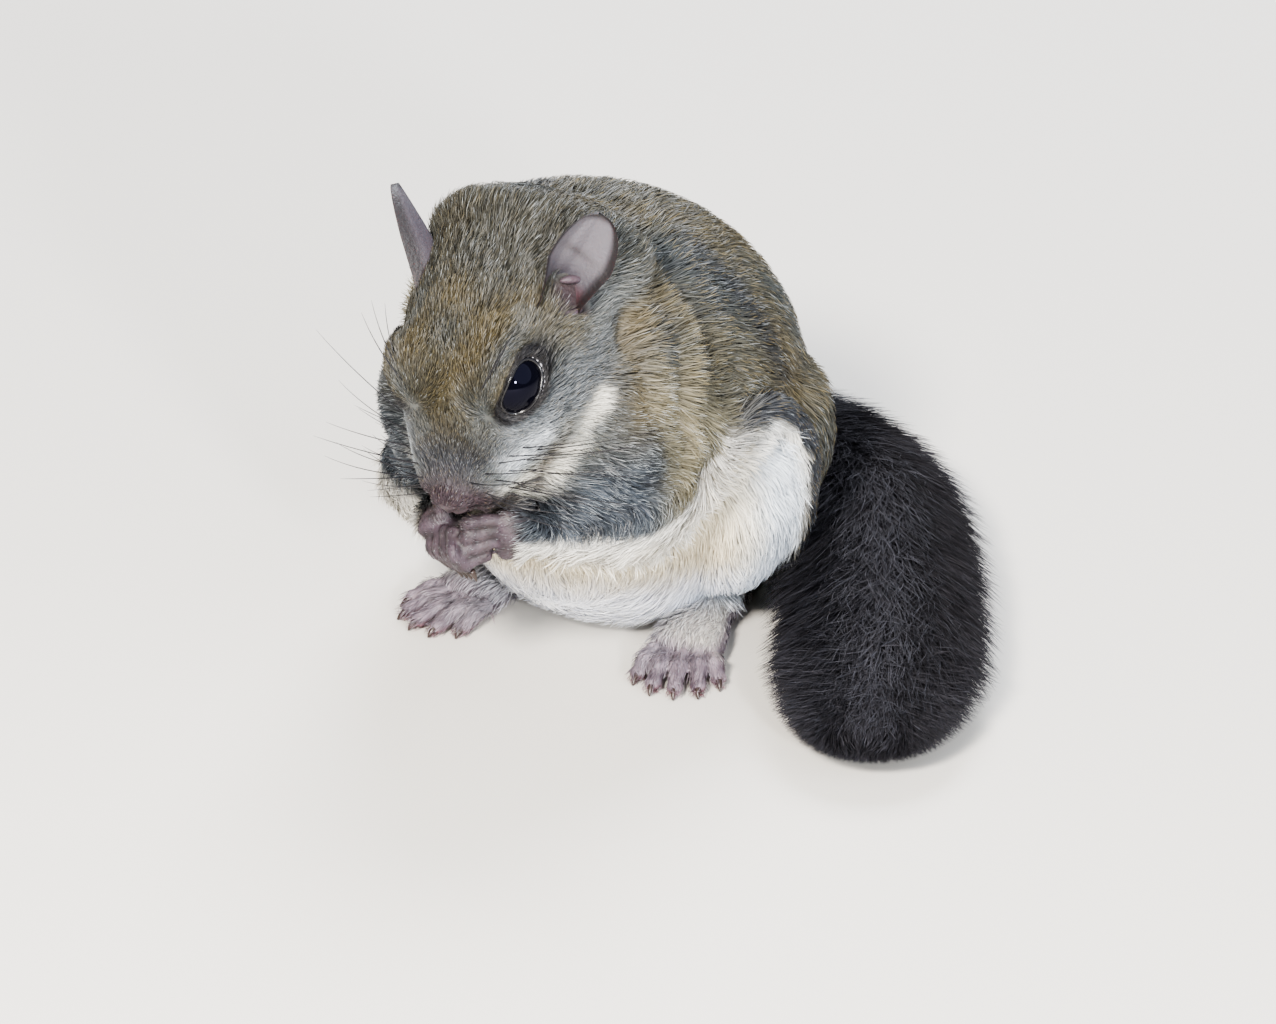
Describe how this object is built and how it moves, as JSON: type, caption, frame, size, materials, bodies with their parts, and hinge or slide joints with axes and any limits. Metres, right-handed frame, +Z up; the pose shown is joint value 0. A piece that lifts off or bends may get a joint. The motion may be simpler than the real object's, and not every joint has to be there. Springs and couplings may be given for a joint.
{
  "type": "flying squirrel",
  "caption": "Life-size still model of a flying squirrel that sits hunched on the floor, head bent down, both hands at its mouth, its flat bushy tail laid round its left side.",
  "frame": {"origin": "on the floor, under the middle of the bounding box", "axes": "+Z up, the animal faces -Y, its own left side is +X"},
  "size_m": [0.0932, 0.0916, 0.0721],
  "materials": {
    "back_fur": "grey-brown fur",
    "head_fur": "warm brown-grey fur",
    "arm_fur": "dark blue-grey fur",
    "white_fur": "cream-white fur",
    "tail_fur": "charcoal fur",
    "bare_skin": "matt pink-grey skin",
    "eye": "wet black"
  },
  "bodies": {
    "root": {"eye_left": "eye", "eye_right": "eye", "head": "head_fur", "ear_left": "bare_skin", "ear_right": "bare_skin", "hand_left": "bare_skin", "hand_right": "bare_skin", "foot_left": "bare_skin", "foot_right": "bare_skin", "flying_skin_left": "white_fur", "flying_skin_right": "white_fur", "forearm_left": "arm_fur", "forearm_right": "arm_fur", "neck": "back_fur", "torso": "back_fur", "upper_arm_left": "arm_fur", "upper_arm_right": "arm_fur", "shank_left": "white_fur", "shank_right": "white_fur", "thigh_left": "back_fur", "thigh_right": "back_fur", "tail": "tail_fur"}
  },
  "joints": []
}
